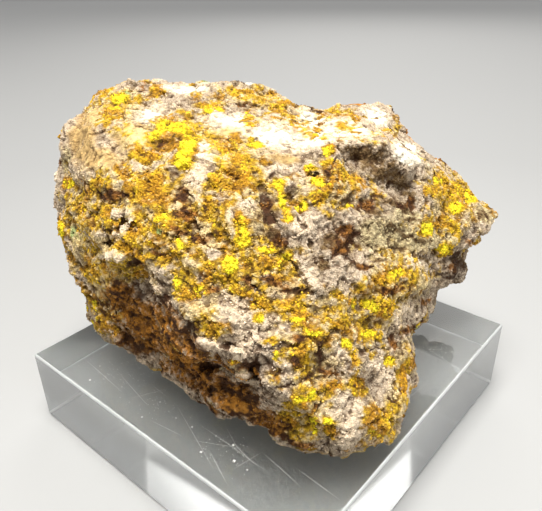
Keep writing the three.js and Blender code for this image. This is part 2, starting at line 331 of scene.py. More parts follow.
# Umber stone, and painted shade in the recess under the rim and in the cavities.
UMBER_AND_SHADE_PATCHES = [
    (362, 155, 22, 11, 10), (388, 178, 22, 9, 20), (376, 166, 26, 12, 15), (410, 196, 14, 8, 20),
    (452, 262, 12, 9), (470, 262, 8, 8), (320, 357, 5, 14), (255, 366, 13, 7, 10), (267, 198, 11, 10),
    (270, 218, 16, 11), (330, 244, 14, 12), (480, 214, 9, 7, 30), (322, 264, 9, 12), (398, 206, 24, 4, 20),
    (412, 220, 20, 3, 20), (394, 229, 18, 3, 22), (414, 238, 22, 3, 20), (396, 248, 20, 3, 18),
    (420, 256, 18, 3, 15), (380, 262, 16, 3, 10), (348, 198, 14, 5, 20), (372, 212, 14, 5, 25),
    (276, 234, 12, 9), (200, 228, 12, 13), (172, 172, 5, 9), (214, 389, 9, 9), (214, 365, 12, 5, 25),
    (344, 232, 9, 12),
]

RUST_PATCHES = [
    (142, 85, 6, 5), (160, 143, 4, 3), (178, 142, 4, 2), (112, 196, 15, 8), (181, 196, 11, 14),
    (204, 240, 13, 10), (190, 216, 20, 10), (177, 232, 10, 5), (242, 105, 15, 3), (224, 142, 6, 3, 20),
    (281, 240, 9, 8), (330, 169, 9, 6), (345, 233, 13, 15), (340, 251, 9, 10), (361, 268, 12, 8),
    (367, 204, 10, 8), (297, 339, 12, 6), (299, 364, 9, 5), (331, 374, 15, 7, 10), (284, 290, 12, 5),
    (251, 283, 11, 5, 40), (213, 289, 9, 6), (202, 276, 5, 5), (391, 289, 20, 7), (405, 330, 13, 7, -20),
    (393, 346, 8, 12), (424, 301, 8, 6), (135, 301, 25, 13, 20), (152, 318, 19, 20), (150, 346, 24, 15),
    (131, 342, 15, 14), (176, 366, 22, 15, 30), (111, 291, 9, 9), (213, 366, 15, 8, 20), (250, 366, 16, 8),
    (236, 394, 30, 11, 20), (250, 406, 28, 10, 20), (268, 418, 20, 9, 30), (303, 444, 16, 5),
    (272, 280, 18, 6, 25), (216, 407, 14, 9), (203, 383, 14, 15), (316, 404, 5, 6), (160, 250, 12, 4, 10),
    (453, 268, 10, 8), (143, 262, 8, 5, -20), (470, 243, 8, 6), (410, 203, 10, 7), (264, 206, 9, 11),
]

# White stone, brightened into a painted highlight on the tops that the light strikes.
WHITE_AND_HIGHLIGHT_PATCHES = [
    (236, 121, 22, 7), (346, 130, 26, 8), (405, 152, 14, 11, 30), (315, 142, 16, 7), (309, 122, 18, 10),
    (376, 117, 16, 8, 20), (272, 137, 28, 9), (190, 90, 22, 5), (204, 152, 10, 10), (407, 155, 14, 9, 30),
    (150, 115, 12, 5, -10),
]

PALE_PATCHES = [
    (150, 115, 20, 8, -10), (225, 121, 36, 10), (346, 130, 26, 9), (405, 152, 15, 12, 30), (300, 147, 24, 9),
    (309, 120, 20, 14), (182, 89, 32, 7), (204, 160, 13, 18), (195, 179, 12, 9), (376, 117, 16, 9, 20),
    (268, 136, 30, 12), (123, 213, 8, 6, -20), (95, 201, 7, 4), (108, 233, 14, 5), (128, 225, 3, 13, 30),
    (115, 257, 22, 4, -5), (160, 272, 10, 8), (247, 204, 12, 9, 20), (232, 222, 5, 16, -10),
    (181, 322, 13, 9, 30), (208, 344, 22, 6, 15), (240, 353, 22, 5, 10), (247, 379, 20, 4),
    (236, 314, 24, 11), (248, 336, 22, 8), (270, 321, 12, 6), (318, 217, 8, 6), (308, 276, 9, 12),
    (346, 352, 15, 11), (380, 371, 22, 14), (344, 404, 26, 14), (350, 431, 13, 20), (406, 311, 12, 8),
    (418, 260, 22, 8, -10), (281, 169, 17, 7), (285, 330, 12, 6), (300, 226, 14, 12), (213, 256, 9, 7),
    (265, 276, 5, 6), (290, 370, 8, 10), (325, 132, 62, 13, 5),
]

# Ledges and worn places that no crust covers.
BARE_PATCHES = [
    (122, 213, 8, 6, -20), (128, 226, 4, 13, 30), (102, 236, 13, 6, 10), (112, 257, 20, 4, -5),
    (76, 232, 6, 15, -10), (181, 322, 12, 7, 30), (208, 344, 22, 5, 15), (246, 354, 17, 4, 10),
    (247, 379, 20, 4), (160, 271, 9, 6), (405, 153, 14, 10, 30), (318, 217, 7, 5), (246, 204, 10, 7, 20),
    (230, 222, 4, 14, -10), (213, 256, 8, 6), (326, 264, 12, 18), (350, 436, 9, 16), (378, 372, 14, 9),
    (256, 330, 26, 8, 10), (265, 276, 5, 5), (200, 226, 9, 9), (172, 173, 5, 8),
]

TAN_PATCHES = [
    (82, 140, 15, 27, 10), (138, 140, 20, 11), (96, 113, 14, 9, -40), (128, 135, 17, 10), (105, 160, 22, 14),
    (285, 158, 22, 7), (100, 283, 7, 18, -10), (240, 408, 24, 10, 20), (232, 130, 20, 8),
]

GREY_GREEN_PATCHES = [
    (76, 234, 7, 24, -10), (66, 163, 4, 20), (378, 234, 26, 20), (415, 285, 18, 12), (404, 240, 26, 18, 10),
    (408, 215, 18, 10, 20), (232, 368, 14, 6), (484, 214, 14, 10, 30), (440, 238, 22, 14),
]

GREEN_PATCHES = [(158, 232, 4, 4), (128, 93, 4, 4, -30), (76, 232, 5, 13, -10)]

# Broad, thin washes of crust and of rust, which the patches above lie in.
OCHRE_WASHES = [
    (150, 200, 58, 46), (205, 245, 46, 44, 20), (130, 262, 36, 26), (243, 180, 30, 42),
    (268, 270, 48, 30, 20), (330, 188, 44, 22, 10), (452, 196, 38, 24, 35), (446, 222, 20, 14, 20),
    (388, 290, 36, 24), (345, 322, 46, 26, 10), (318, 388, 34, 44), (384, 420, 24, 22),
    (300, 428, 28, 16, 10), (118, 108, 34, 20, -25), (258, 98, 58, 12, 8), (180, 132, 42, 22),
    (234, 150, 28, 26), (402, 372, 16, 30), (92, 230, 30, 60, -10), (300, 330, 34, 24), (205, 318, 24, 26),
    (400, 262, 34, 18), (266, 214, 18, 28), (150, 140, 34, 14), (320, 128, 60, 14, 4),
    (104, 298, 16, 26, -10),
]

RUST_WASHES = [
    (150, 322, 46, 30, 20), (188, 362, 42, 26, 35), (236, 398, 44, 22, 25), (270, 426, 20, 10, 25),
    (118, 296, 26, 16, 20),
]

# Cracks, cavities and overhangs, darkened with painted shade.
PAINTED_SHADE_PATCHES = [
    (105, 228, 6, 3), (110, 243, 8, 3, 20), (135, 263, 10, 3, -20), (274, 173, 4, 3), (311, 177, 10, 2),
    (452, 257, 9, 5, -30), (458, 266, 9, 9), (452, 278, 9, 3, -10), (346, 258, 12, 3, 30),
    (257, 366, 16, 8, 10), (214, 364, 13, 5, 25), (214, 389, 8, 8), (293, 384, 20, 2, -5), (276, 374, 12, 2),
    (256, 285, 7, 3, 40), (262, 328, 13, 2), (229, 346, 7, 3), (302, 291, 14, 2), (138, 346, 9, 8),
    (320, 357, 4, 12), (263, 197, 7, 8), (268, 215, 12, 8), (122, 224, 3, 8, 30), (245, 396, 18, 5, 20),
    (144, 297, 10, 4, 10), (373, 348, 12, 2, -10), (188, 328, 9, 3), (308, 378, 12, 3, -20), (292, 190, 6, 8),
    (270, 222, 12, 3),
]

# For each mask, its ovals on the side that shows. For the other sides, the size of its blotches in
# millimetres, the seed of their noise, and the noise's values at which a blotch starts and is full.
MASKS = {
    "lemon": (LEMON_PATCHES, 7.5, 101, 0.45, 0.85),
    "ochre": (OCHRE_PATCHES, 11.0, 105, 0.1, 0.6),
    "rust": (RUST_PATCHES, 10.0, 109, 0.15, 0.6),
    "pale": (PALE_PATCHES, 16.0, 113, 0.0, 0.5),
    "white_and_highlight": (WHITE_AND_HIGHLIGHT_PATCHES, 12.0, 137, 0.35, 0.8),
    "tan": (TAN_PATCHES, 18.0, 117, 0.0, 0.5),
    "grey_green": (GREY_GREEN_PATCHES, 14.0, 121, 0.2, 0.5),
    "green": (GREEN_PATCHES, 11.0, 125, 0.6, 0.8),
    "umber_and_shade": (UMBER_AND_SHADE_PATCHES, 10.0, 141, 0.2, 0.6),
    "ochre_wash": (OCHRE_WASHES, 24.0, 129, -0.1, 0.4),
    "rust_wash": (RUST_WASHES, 22.0, 133, 0.1, 0.6),
    "bare": (BARE_PATCHES, 9.0, 145, 0.4, 0.7),
}
# On the sides that don't show, white is laid more on faces that point up: a painted highlight from the light
# above.
PAINTED_TOP_HIGHLIGHT = 0.3

# Raised lumps and sunken places on the side that shows: the oval, its tilt and its height in millimetres.
LUMPS = [
    (123, 213, 8, 6, -20, 1.2), (129, 226, 3, 13, 30, 1.0), (115, 257, 24, 4, -5, 0.9),
    (108, 233, 14, 5, 0, 0.6), (247, 204, 12, 9, 20, 0.8), (229, 228, 4, 18, -5, 0.8),
    (160, 271, 11, 8, 0, 0.7), (181, 322, 14, 8, 30, 1.0), (210, 345, 28, 5, 20, 1.5),
    (250, 379, 24, 4, 8, 1.6), (240, 353, 22, 4, 8, 1.6), (265, 318, 16, 6, 10, 0.6),
    (405, 153, 14, 10, 30, 0.8), (350, 440, 9, 14, 0, 0.5), (454, 268, 9, 6, 0, 0.6),
    (187, 150, 9, 16, 10, 0.5), (238, 165, 14, 14, 0, 0.4), (242, 237, 9, 9, 0, 0.5),
    (231, 265, 13, 10, 20, 0.5), (405, 312, 14, 8, 0, 0.5), (318, 216, 7, 5, 0, 0.6),
    (60, 230, 4, 12, 0, 0.5), (105, 228, 6, 3, 0, -1.0), (110, 243, 8, 3, 20, -0.9),
    (135, 263, 10, 3, -20, -0.8), (311, 177, 10, 3, 0, -0.9), (257, 366, 16, 7, 10, -3.0),
    (214, 366, 14, 5, 25, -1.8), (214, 389, 8, 9, 0, -1.9), (293, 384, 22, 3, -5, -0.9),
    (256, 285, 7, 3, 40, -0.8), (262, 328, 14, 3, 0, -0.7), (229, 346, 7, 3, 0, -0.7),
    (302, 291, 15, 3, 0, -0.6), (320, 357, 5, 14, 0, -0.9), (122, 225, 3, 9, 30, -0.6),
    (245, 396, 20, 6, 20, -0.9), (373, 348, 13, 3, -10, -0.7), (452, 258, 9, 5, -30, -1.2),
    (361, 268, 11, 7, 0, -0.7), (345, 235, 10, 13, 0, -0.6), (308, 378, 13, 4, -20, -0.7),
]

# The same for places at the stone's outline, where its near and its far side move alike.
TRIMS = [
    (478, 192, 15, 8, 45, -1.4), (486, 202, 8, 5, 45, -0.7), (490, 233, 7, 5, 0, -0.8),
    (133, 77, 6, 5, 0, -1.0), (494, 214, 6, 4, 30, 1.0),
]

# How steeply an oval fades, how many millimetres of stone may hide a point that still counts as showing, and
# the slants to the line of sight at which a point starts to show and shows fully.
OVAL_FADE = 1.4
HIDDEN_DEPTH = 0.6
SHOWING_SLANTS = (0.02, 0.2)
SHOWING_BLUR = 3

# How the ovals' outlines wander: wavelengths in millimetres, distances in pixels and seeds.
WANDER = ((3.5, 3.5, 11), (1.5, 2.5, 12), (0.8, 1.2, 13))


class Sight:
    """Where the points of a skin show in the picture, and whether they face the camera unhidden."""

    def __init__(self, skin):
        metres = skin.points * MM
        self.column, self.row = sight(metres)
        facing = (skin.normals() * towards_camera(skin.points)).sum(axis=1)
        tree = BVHTree.FromPolygons(metres.tolist(), skin.quads.tolist())
        clear = np.zeros(len(metres))
        for index in np.nonzero(facing > 0)[0]:
            point = Vector(metres[index])
            hit = tree.ray_cast(CAMERA_AT, point - CAMERA_AT)[0]
            clear[index] = hit is not None and (hit - point).length < HIDDEN_DEPTH * MM
        self.shows = skin.blur(clear * ramp(facing, *SHOWING_SLANTS), SHOWING_BLUR)
        for wavelength, most, seed in WANDER:
            self.column = self.column + most * noise(skin.points, wavelength, seed)
            self.row = self.row + most * noise(skin.points, wavelength, seed + 50)

    def oval(self, column, row, half_width, half_height, tilt=0):
        """1 in the middle of an oval, falling to a quarter at its outline and fading out beyond."""
        angle = math.radians(tilt)
        across = self.column - column
        down = self.row - row
        along = (across * math.cos(angle) + down * math.sin(angle)) / half_width
        aside = (down * math.cos(angle) - across * math.sin(angle)) / half_height
        return np.exp(-OVAL_FADE * (along**2 + aside**2))

    def patches(self, rows):
        """The union of several ovals."""
        clear = np.ones(len(self.column))
        for row in rows:
            clear *= 1 - self.oval(*row)
        return (1 - clear) * self.shows

    def heights(self, rows):
        """The sum of several ovals, each with a height."""
        return sum(height * self.oval(*oval) for *oval, height in rows)


def stone_masks(skin):
    """How much each crust and tone counts at each point, and how far lumps and trims move it."""
    view = Sight(skin)
    masks = {"shade": view.patches(PAINTED_SHADE_PATCHES)}
    for name, (ovals, size, seed, low, high) in MASKS.items():
        blotches = cloud(skin.points, size, seed)
        # Faces that point up get more white: painted highlight.
        if name == "white_and_highlight":
            blotches = blotches + PAINTED_TOP_HIGHLIGHT * skin.normals()[:, 2]
        masks[name] = view.patches(ovals) + (1 - view.shows) * ramp(blotches, low, high)
    masks["lumps"] = view.shows * view.heights(LUMPS)
    masks["trims"] = view.heights(TRIMS)
    masks["smooth"] = np.clip(masks["tan"] + 0.6 * masks["white_and_highlight"] + 0.15 * masks["pale"], 0, 1)
    return masks


# ---- the stone's shape, in millimetres

VOXEL = 0.31
FACET_SMOOTHING = 13
RESTING_HEIGHT = BLOCK_TOP / MM + 0.02

# Worn beds: the way up through them, their thickness, how far each swells, how far it wanders, and the share
# of its thickness over which it drops back below the swell.
LEDGES = {"up": (0.30, 0.12, 0.94), "spacing": 4.6, "height": 0.55, "wobble": 2.6, "foot": 0.2}

# Broken facets: how steeply they tilt, how far they step and where they end.
CHIP_TILT = 2.6
CHIP_STEP = 0.9
CHIP_LIMIT = 0.6

# Relief as height, size and seed: coarse facets, two rounds of finer facets with crests, and grain.
COARSE_CHIPS = (0.65, 6.0, 21)
FINE_CHIPS = ((0.42, 2.9, 31), (0.2, 1.4, 35))
FINE_CRESTS = ((0.18, 2.6, 22), (0.09, 0.95, 43))
GRAIN = (0.1, 0.65, 44)
WARP = (0.5, 1.6, (51, 52, 53))

# How much calmer the relief is where the stone is smooth and on its corners. Corners are where the skin juts
# out this far past its surroundings.
SMOOTH_CALM = 0.8
CORNER_CALM = 0.75
CORNER_ROUNDS = 60
CORNER_HEIGHTS = (0.25, 0.7)

# Near the block the stone sinks this far, down to its flat resting place, and no longer at these heights.
SINK = 0.3
SINK_HEIGHTS = (0.3, 3.0)


def stone_skin():
    """The stone's faceted solid, cut into small quads and smoothed a little."""
    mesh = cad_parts["specimen_rock"].data.copy()
    joined = bmesh.new()
    joined.from_mesh(mesh)
    bmesh.ops.remove_doubles(joined, verts=joined.verts, dist=0.001 * MM)
    joined.to_mesh(mesh)
    joined.free()
    rough = bpy.data.objects.new("rough_stone", mesh)
    bpy.context.scene.collection.objects.link(rough)
    cutting = rough.modifiers.new("cutting", "REMESH")
    cutting.mode = "VOXEL"
    cutting.voxel_size = VOXEL * MM
    finished = rough.evaluated_get(bpy.context.evaluated_depsgraph_get())
    skin = Skin(bpy.data.meshes.new_from_object(finished))
    bpy.data.objects.remove(rough)
    skin.points = skin.blurred_points(FACET_SMOOTHING)
    return skin


def ledge_height(points):
    """Small worn steps: each bed swells out towards its foot and drops back below it."""
    wobble = LEDGES["wobble"] * cloud(points, 14.0, 71)
    level = (points @ np.array(LEDGES["up"]) + wobble) / LEDGES["spacing"]
    part = level - np.floor(level)
    foot = LEDGES["foot"]
    swell = np.where(part < foot, part / foot, (1 - part) / (1 - foot))
    return LEDGES["height"] * (swell - 0.5) * ramp(noise(points, 9.0, 75), -0.25, 0.2)


def chips(points, size, seed):
    """Flat facets at odd tilts and heights, like broken stone."""
    way, own = nearest_cell(points, size, seed)
    tilt = np.stack([share(own, seed + k) for k in range(3, 6)], axis=1) - 0.5
    step = share(own, seed + 6) - 0.5
    return np.clip(CHIP_TILT * (tilt * way).sum(axis=1) + CHIP_STEP * step, -CHIP_LIMIT, CHIP_LIMIT)


def relief(kind, points, row):
    """One layer of relief, from a kind of noise."""
    height, size, seed = row
    return height * kind(points, size, seed)


def carve(skin, masks):
    """Raises and sinks the stone's skin, from its lumps down to its grains."""
    jutting = ramp(-skin.hollowness(CORNER_ROUNDS), *CORNER_HEIGHTS)
    rough = (1 - SMOOTH_CALM * masks["smooth"]) * (1 - CORNER_CALM * jutting)
    skin.points = skin.points + towards_camera(skin.points) * masks["lumps"][:, None]
    skin.push(masks["trims"])
    points = skin.points.copy()
    skin.push(rough * (ledge_height(points) + relief(chips, points, COARSE_CHIPS)))
    most, wavelength, seeds = WARP
    points = points + np.stack([most * noise(points, wavelength, seed) for seed in seeds], axis=1)
    for facets, ridges in zip(FINE_CHIPS, FINE_CRESTS):
        skin.push(rough * (relief(chips, points, facets) + relief(crests, points, ridges)))
    skin.push((0.3 + 0.7 * rough) * relief(noise, points, GRAIN))
    low = skin.points[:, 2] - RESTING_HEIGHT
    sink = SINK * (1 - ramp(low, *SINK_HEIGHTS))
    skin.points[:, 2] = np.maximum(skin.points[:, 2] - sink, RESTING_HEIGHT)


# ---- the stone's colours


def colour(*screen):
    """A colour given as it looks on a screen, from 0 to 255, in Blender's linear values."""
    return tuple(((v / 255 + 0.055) / 1.055) ** 2.4 if v > 10 else v / 255 / 12.92 for v in screen)


GREY = colour(206, 188, 164)
# White stone, also the painted highlight on the lit tops.
WHITE_AND_HIGHLIGHT = colour(250, 243, 222)
PALE = colour(234, 214, 186)
TAN = colour(206, 172, 114)
GREY_GREEN = colour(206, 190, 142)
GREEN = colour(150, 178, 112)
# Umber stone, also used as painted shade in the recess under the rim and in the cavities.
UMBER_AND_SHADE = colour(122, 98, 64)
BROWN = colour(158, 106, 44)
RUST = colour(188, 128, 46)
DARK_RUST = colour(74, 46, 24)
ORANGE = colour(182, 126, 32)
PAINTED_SHADE = colour(66, 44, 28)
# Painted shade for cracks, cavities and overhangs.
FLECK = colour(206, 172, 72)
STAIN = colour(232, 208, 150)

# The crusts' colours from a faint stain to the thickest crust.
CRUST_STEPS = (0.0, 0.25, 0.42, 0.6, 0.78, 1.0)
CRUST_COLOURS = np.array([
    colour(236, 216, 162), colour(224, 194, 112), colour(212, 172, 62), colour(224, 182, 42),
    colour(236, 204, 40), colour(246, 229, 46),
])
OCHRE_THICKNESS = 0.64
THIN_CRUST = 0.42
THICKEST_OCHRE = 0.74

# The noises that break the colours up: their wavelengths in millimetres and their seeds.
COARSE_BREAKUP = (2.6, 61)
FINE_BREAKUP = (1.0, 65, 2)
CRUST_BREAKUP = (4.5, 57)
UMBER_CLOUDS = (5.0, 58)
WARM_CLOUDS = (4.0, 59)
THREADS = (1.5, 79)
SPECKLE = (0.7, 69)


def blend(base, over, amount):
    return base + (np.array(over) - base) * amount[:, None]


def cover(base, over, amount, low, high, strength=1.0):
    """Blends a colour over others: not at all where amount is low, and at its full strength where high."""
    return blend(base, over, strength * ramp(amount, low, high))


def crust_thickness(points, masks, coarse, fine):
    """How thick the crust is: about 0.3 where it stains the stone, 0.6 where it is ochre, 1 where lemon."""
    thinned = 0.5 * masks["pale"] + 0.4 * masks["rust"] + 0.6 * masks["umber_and_shade"] + 0.5 * masks["tan"]
    broken = masks["ochre_wash"] + 0.75 * cloud(points, *CRUST_BREAKUP) + 0.25 * coarse - thinned
    thick = np.maximum(THIN_CRUST * ramp(broken, 0.0, 0.8), OCHRE_THICKNESS * ramp(masks["ochre"], 0.0, 0.75))
    thick *= 1 - 0.9 * ramp(masks["bare"] + 0.3 * coarse, 0.2, 0.6)
    thick = np.maximum(thick, ramp(masks["lemon"], 0.05, 0.8))
    rough = ramp(thick, 0.0, 0.3) * (0.36 * coarse + 0.5 * fine)
    return np.clip(thick + rough, 0, THICKEST_OCHRE + 0.3 * ramp(masks["lemon"], 0.0, 0.25))


def bare_tone(points, masks, coarse):
    """The stone's own colour, with its stains, and the painted highlight on its lit tops."""
    tone = np.tile(np.array(GREY), (len(points), 1))
    tone = cover(tone, TAN, masks["tan"], 0.1, 0.7)
    tone = cover(tone, GREY_GREEN, masks["grey_green"], 0.1, 0.7, 0.8)
    tone = cover(tone, UMBER_AND_SHADE, cloud(points, *UMBER_CLOUDS), 0.1, 0.55, 0.5)
    tone = cover(tone, STAIN, masks["ochre_wash"] + 0.4 * coarse, 0.15, 0.7, 0.8)
    tone = cover(tone, PALE, masks["pale"] + 0.3 * coarse, 0.1, 0.7)
    # White stone and the painted highlight on the lit tops.
    return cover(tone, WHITE_AND_HIGHLIGHT, masks["white_and_highlight"] + 0.2 * coarse, 0.15, 0.8)


def crust_tone(points, masks, thick, fine):
    """The crusts' colour, warmer in the ochre patches' middles, with dark threads."""
    crust = np.stack([np.interp(thick, CRUST_STEPS, column) for column in CRUST_COLOURS.T], axis=1)
    core = ramp(masks["ochre"] - masks["lemon"] + 0.3 * fine, 0.55, 1.0)
    clouds = ramp(cloud(points, *WARM_CLOUDS), 0.0, 0.4)
    crust = blend(crust, ORANGE, 0.75 * (np.maximum(clouds, core) * (1 - ramp(thick, 0.75, 0.95))))
    threads = np.abs(noise(points, *THREADS)) + 0.3 * ramp(thick, 0.75, 1.0)
    return blend(crust, DARK_RUST, 0.5 * (1 - ramp(threads, 0.02, 0.12)))


def rust_tone(masks, coarse, fine):
    """The rust's colour: brown in patches and redder in the washes, with dark places."""
    rust = np.tile(np.array(BROWN), (len(coarse), 1))
    rust = cover(rust, RUST, masks["rust_wash"] + 0.3 * coarse, 0.2, 0.7)
    return cover(rust, DARK_RUST, 0.8 * coarse + 0.8 * fine, -0.15, 0.4)


def stone_tone(skin, masks):
    """The colour of each point of the stone, with its crusts."""
    points = skin.points
    coarse = cloud(points, *COARSE_BREAKUP)
    fine = cloud(points, *FINE_BREAKUP)
    thick = crust_thickness(points, masks, coarse, fine)
    tone = bare_tone(points, masks, coarse)
    tone = cover(tone, crust_tone(points, masks, thick, fine), thick, 0.0, 0.4)
    flecks = masks["ochre_wash"] * ramp(fine + 0.4 * coarse, 0.1, 0.5)
    tone = blend(tone, FLECK, 0.6 * flecks * (1 - ramp(thick, 0.2, 0.6)))
    off_lemon = 1 - 0.9 * ramp(masks["lemon"], 0.3, 0.8)
    broken = 0.5 * coarse + 0.5 * fine
    # Umber stone, with painted shade in the recess under the rim and in the cavities.
    tone = cover(tone, UMBER_AND_SHADE, masks["umber_and_shade"] + broken, 0.25, 0.8, off_lemon)
    rusty = np.maximum(masks["rust"], 1.15 * masks["rust_wash"]) + broken
    tone = cover(tone, rust_tone(masks, coarse, fine), rusty, 0.25, 0.75, off_lemon)
    tone = cover(tone, GREEN, masks["green"] + 0.2 * fine, 0.3, 0.8, 0.8)
    # Painted shade over the cracks, cavities and overhangs.
    tone = cover(tone, PAINTED_SHADE, masks["shade"] + 0.2 * fine, 0.2, 0.8, 0.85)
    return tone * (1 + 0.3 * noise(points, *SPECKLE))[:, None]


# ---- materials

# Noises in the stone's material: size, detail and roughness.
MEDIUM_GRAIN = (0.5, 3.0, 0.6)
FINE_GRAIN = (0.22, 2.0, 0.6)
VEIN_GRAIN = (0.9, 3.0, 0.6)

# Sand and dark veins that multiply the stone's tone, and the dirt and painted shade that darken its hollows.
SAND_TONES = [(0.32, colour(112, 88, 68)), (0.48, colour(224, 218, 208)), (0.6, colour(255, 255, 255))]
VEIN_TONES = [(0.0, colour(104, 70, 42)), (0.045, colour(255, 255, 255))]
PATTERN_STRENGTH = 0.6
DIRT_AND_SHADE_TONE = colour(70, 42, 22)
DIRT_AND_SHADE_STRENGTH = 0.8
DIRT_AND_SHADE_EDGE = {"strength": 0.5, "middle": 0.66, "softness": 0.3}
BUMP_HEIGHT = 0.22 * MM
BUMP_STRENGTH = 0.7

# The acrylic: how much of each side is made milky as painted light, how much of each bevel is made milky as a
# painted highlight, and how hazy its faces are.
ACRYLIC_TINT = (0.97, 0.99, 0.985)
ACRYLIC_IOR = 1.49
SIDE_PAINTED_LIGHT = 0.12
EDGE_PAINTED_HIGHLIGHT = 0.45
HAZE_GRAIN = (6.0, 4.0, 0.7)
HAZE_TONES = [(0.4, (0.015,) * 3), (0.7, (0.06,) * 3)]
SIDE_HAZE = (0.13, 0.13, 0.13, 1.0)

# A side's normal has less than this of Z, and a bevel's has less than this of every axis.
SIDE_NORMAL = 0.5
BEVEL_NORMAL = 0.985


def new_material(name):
    material = bpy.data.materials.new(name)
    material.use_nodes = True
    return material, material.node_tree, material.node_tree.nodes["Principled BSDF"]


def add(tree, kind, settings=None, **inputs):
    """A node with its settings, whose inputs are values or other nodes' outputs."""
    node = tree.nodes.new(kind)
    for name, value in (settings or {}).items():
        setattr(node, name, value)
    for name, value in inputs.items():
        socket = node.inputs[int(name[1:])] if name[0] == "_" else node.inputs[name]
        if isinstance(value, bpy.types.NodeSocket):
            tree.links.new(value, socket)
        else:
            socket.default_value = value
    return node


def maths(tree, operation, first, second=0.0):
    return add(tree, "ShaderNodeMath", {"operation": operation}, _0=first, _1=second).outputs[0]


def mix(tree, factor, first, second, kind="MIX"):
    settings = {"data_type": "RGBA", "blend_type": kind}
    return add(tree, "ShaderNodeMix", settings, _0=factor, _6=first, _7=second).outputs[2]


def stored(tree, name, output):
    """A colour or a number that the mesh stores at each of its points."""
    return add(tree, "ShaderNodeAttribute", {"attribute_name": name}).outputs[output]


def grain(tree, size, detail, roughness):
    """Noise from 0 to 1 whose blotches are about size millimetres across."""
    place = add(tree, "ShaderNodeTexCoord").outputs["Object"]
    looks = {"Scale": 1 / (size * MM), "Detail": detail, "Roughness": roughness}
    return add(tree, "ShaderNodeTexNoise", None, Vector=place, **looks).outputs["Fac"]


def gradient(tree, factor, stops):
    """A colour ramp through (position, colour) stops."""
    node = add(tree, "ShaderNodeValToRGB", None, Fac=factor)
    elements = node.color_ramp.elements
    while len(elements) < len(stops):
        elements.new(0.5)
    for element, (position, shade) in zip(elements, stops):
        element.position = position
        element.color = (*shade, 1.0)
    return node.outputs["Color"]


def edge(tree, mask, breakup, strength, middle, softness):
    """A mask made crisp: 1 where mask, roughened by breakup, is over middle."""
    rough = maths(tree, "MULTIPLY", maths(tree, "SUBTRACT", breakup, 0.5), strength)
    level = maths(tree, "ADD", mask, rough)
    limits = {"From Min": middle - softness, "From Max": middle + softness}
    smooth = {"interpolation_type": "SMOOTHSTEP"}
    return add(tree, "ShaderNodeMapRange", smooth, Value=level, **limits).outputs["Result"]


def crusted_rock():
    """The tones stored on the stone, with sand, dark veins, and dirt and painted shade in the hollows."""
    material, tree, shader = new_material("crusted_rock")
    medium = grain(tree, *MEDIUM_GRAIN)
    fine = grain(tree, *FINE_GRAIN)
    patterned = maths(tree, "MULTIPLY", stored(tree, "rough", "Fac"), PATTERN_STRENGTH)
    sand = gradient(tree, medium, SAND_TONES)
    stone = mix(tree, patterned, stored(tree, "tone", "Color"), sand, "MULTIPLY")
    ridge = maths(tree, "ABSOLUTE", maths(tree, "SUBTRACT", grain(tree, *VEIN_GRAIN), 0.5))
    stone = mix(tree, patterned, stone, gradient(tree, ridge, VEIN_TONES), "MULTIPLY")
    deep = edge(tree, stored(tree, "hollow_dirt_and_shade", "Fac"), medium, **DIRT_AND_SHADE_EDGE)
    # Dirt and painted shade in the hollows.
    stone = mix(tree, maths(tree, "MULTIPLY", deep, DIRT_AND_SHADE_STRENGTH), stone, (*DIRT_AND_SHADE_TONE, 1.0))
    tree.links.new(stone, shader.inputs["Base Color"])
    shader.inputs["Roughness"].default_value = 0.9
    shader.inputs["Specular IOR Level"].default_value = 0.25
    height = maths(tree, "ADD", medium, maths(tree, "MULTIPLY", fine, 0.5))
    bump = add(tree, "ShaderNodeBump", None, Height=height, Strength=BUMP_STRENGTH, Distance=BUMP_HEIGHT)
    tree.links.new(bump.outputs["Normal"], shader.inputs["Normal"])
    return material


def crust_grains():
    """The tones stored on the loose grains."""
    material, tree, shader = new_material("crust_grains")
    tree.links.new(stored(tree, "tone", "Color"), shader.inputs["Base Color"])
    shader.inputs["Roughness"].default_value = 0.8
    shader.inputs["Specular IOR Level"].default_value = 0.3
    return material


def clear_acrylic():
    """Polished acrylic, with hazier sides, milky painted light on its sides and milky painted highlights on
    its bevels.
    """
    material, tree, shader = new_material("clear_acrylic")
    shader.inputs["Base Color"].default_value = (*ACRYLIC_TINT, 1.0)
    shader.inputs["IOR"].default_value = ACRYLIC_IOR
    normal = add(tree, "ShaderNodeTexCoord").outputs["Normal"]
    parts = add(tree, "ShaderNodeSeparateXYZ", None, Vector=normal).outputs
    x, y, z = [maths(tree, "ABSOLUTE", part) for part in parts]
    side = maths(tree, "LESS_THAN", z, SIDE_NORMAL)
    largest = maths(tree, "MAXIMUM", maths(tree, "MAXIMUM", x, y), z)
    bevel = maths(tree, "LESS_THAN", largest, BEVEL_NORMAL)
    # Milky white in place of clearness: painted light on the sides and a painted highlight along the bevels.
    side_painted_light = maths(tree, "MULTIPLY", side, SIDE_PAINTED_LIGHT)
    bevel_painted_highlight = maths(tree, "MULTIPLY", bevel, EDGE_PAINTED_HIGHLIGHT)
    clearness = maths(tree, "SUBTRACT", 1.0, maths(tree, "MAXIMUM", side_painted_light, bevel_painted_highlight))
    tree.links.new(clearness, shader.inputs["Transmission Weight"])
    haze = gradient(tree, grain(tree, *HAZE_GRAIN), HAZE_TONES)
    tree.links.new(mix(tree, side, haze, SIDE_HAZE), shader.inputs["Roughness"])
    return material


# ---- the stone and its grains

MOST_TRIANGLES = 190000
HOLLOW_ROUNDS = 12

# A grain is an octahedron.
GRAIN_CORNERS = np.array([(1, 0, 0), (0, 1, 0), (-1, 0, 0), (0, -1, 0), (0, 0, 1), (0, 0, -1)], float)
GRAIN_FACES = np.array([
    (0, 1, 4), (1, 2, 4), (2, 3, 4), (3, 0, 4), (1, 0, 5), (2, 1, 5), (3, 2, 5), (0, 3, 5),
])

